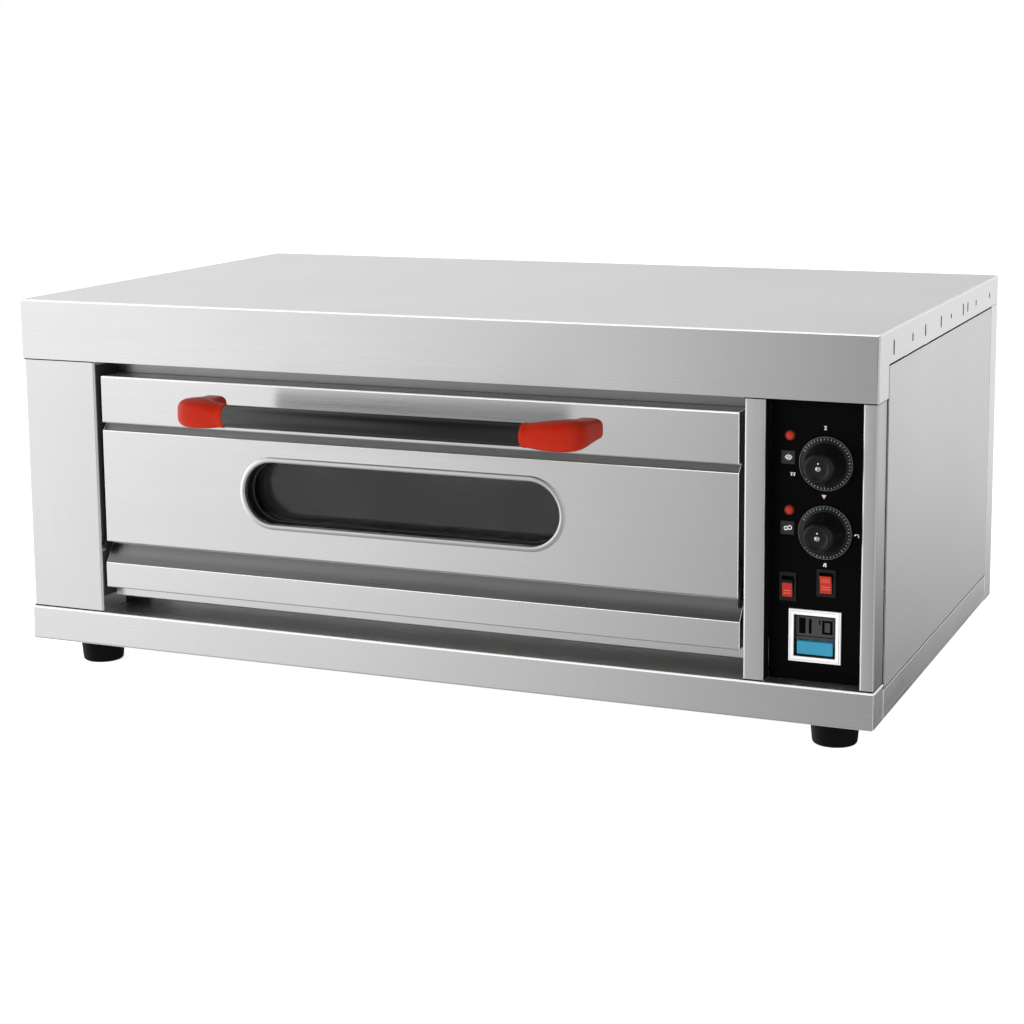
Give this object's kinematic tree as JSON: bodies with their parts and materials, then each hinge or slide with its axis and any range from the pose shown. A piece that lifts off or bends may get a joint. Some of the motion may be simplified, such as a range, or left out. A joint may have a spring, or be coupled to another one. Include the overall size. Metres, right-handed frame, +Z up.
{
  "type": "deck oven",
  "caption": "Electric deck oven with a drop-down windowed door, bar handle, thermostats, switches and timer in a folded steel cabinet on rubber feet.",
  "frame": {"origin": "on the floor under the middle of the whole oven, handle and cable gland included", "axes": "+X to the oven's right as seen from the front, +Y from the door towards the back, +Z up"},
  "size_m": [1.22, 0.842, 0.529],
  "materials": {
    "outer_steel": "satin",
    "chamber_steel": "satin",
    "heater_steel": "satin",
    "mineral_wool": "matte",
    "tube_black": "satin",
    "panel_black": "satin",
    "black_plastic": "satin",
    "red_plastic": "satin",
    "red_lens": "gloss",
    "pale_plastic": "satin",
    "blue_plastic": "satin",
    "screen_grey": "gloss",
    "window_glass": "gloss",
    "foot_rubber": "matte"
  },
  "bodies": {
    "cabinet": {"top_cover": "outer_steel", "front_plinth": "outer_steel", "base_pan": "outer_steel", "left_side_panel": "outer_steel", "right_side_panel": "outer_steel", "rear_panel": "outer_steel", "left_pillar": "outer_steel", "divider_post": "outer_steel", "right_stile": "outer_steel", "mouth_frame": "outer_steel", "door_sill": "outer_steel", "chamber_roof": "chamber_steel", "chamber_floor": "chamber_steel", "chamber_left_wall": "chamber_steel", "chamber_right_wall": "chamber_steel", "chamber_rear_wall": "chamber_steel", "deck_plate": "chamber_steel", "upper_heater_front": "heater_steel", "upper_heater_rear": "heater_steel", "lower_heater_front": "heater_steel", "lower_heater_rear": "heater_steel", "insulation_roof": "mineral_wool", "insulation_floor": "mineral_wool", "insulation_left": "mineral_wool", "insulation_right": "mineral_wool", "insulation_rear": "mineral_wool", "compartment_wall": "outer_steel", "control_panel": "panel_black", "indicator_lamp_upper": "red_lens", "indicator_lamp_lower": "red_lens", "thermostat_upper": "pale_plastic", "thermostat_lower": "pale_plastic", "switch_body_left": "black_plastic", "switch_body_right": "black_plastic", "timer_case": "pale_plastic", "timer_screen": "screen_grey", "contactor": "black_plastic", "terminal_block": "pale_plastic", "foot_front_left": "foot_rubber", "foot_rear_left": "foot_rubber", "foot_front_right": "foot_rubber", "foot_rear_right": "foot_rubber", "cable_gland": "black_plastic"},
    "door": {"door_skin": "outer_steel", "door_liner": "chamber_steel", "door_insulation": "mineral_wool", "window_bezel": "outer_steel", "window_glass_outer": "window_glass", "window_glass_inner": "window_glass", "handle_tube": "tube_black", "handle_end_left": "red_plastic", "handle_end_right": "red_plastic", "door_hinge_left": "tube_black", "door_hinge_right": "tube_black"},
    "thermostat_knob_upper": {"thermostat_knob_upper": "black_plastic"},
    "thermostat_knob_lower": {"thermostat_knob_lower": "black_plastic"},
    "rocker_left": {"rocker_left": "red_lens"},
    "rocker_right": {"rocker_right": "red_lens"},
    "timer_key": {"timer_key": "blue_plastic"}
  },
  "joints": [
    {"name": "door_drop", "type": "hinge", "parent": "cabinet", "child": "door", "pos_m": [0, -0.327, 0.186], "axis": [1, 0, 0], "range_deg": [0, 90]},
    {"name": "thermostat_turn_upper", "type": "hinge", "parent": "cabinet", "child": "thermostat_knob_upper", "pos_m": [0.5405, -0.316, 0.3658], "axis": [0, 1, 0], "range_deg": [0, 290]},
    {"name": "thermostat_turn_lower", "type": "hinge", "parent": "cabinet", "child": "thermostat_knob_lower", "pos_m": [0.5405, -0.316, 0.2803], "axis": [0, 1, 0], "range_deg": [0, 290]},
    {"name": "rocker_tilt_left", "type": "hinge", "parent": "cabinet", "child": "rocker_left", "pos_m": [0.4942, -0.315, 0.209], "axis": [1, 0, 0], "range_deg": [-20, 0]},
    {"name": "rocker_tilt_right", "type": "hinge", "parent": "cabinet", "child": "rocker_right", "pos_m": [0.5428, -0.315, 0.2168], "axis": [1, 0, 0], "range_deg": [-20, 0]},
    {"name": "timer_key_press", "type": "slide", "parent": "cabinet", "child": "timer_key", "axis": [0, 1, 0], "range_m": [0, 0.0015], "stiffness_N_per_m": 400, "springref_m": -0.001}
  ]
}
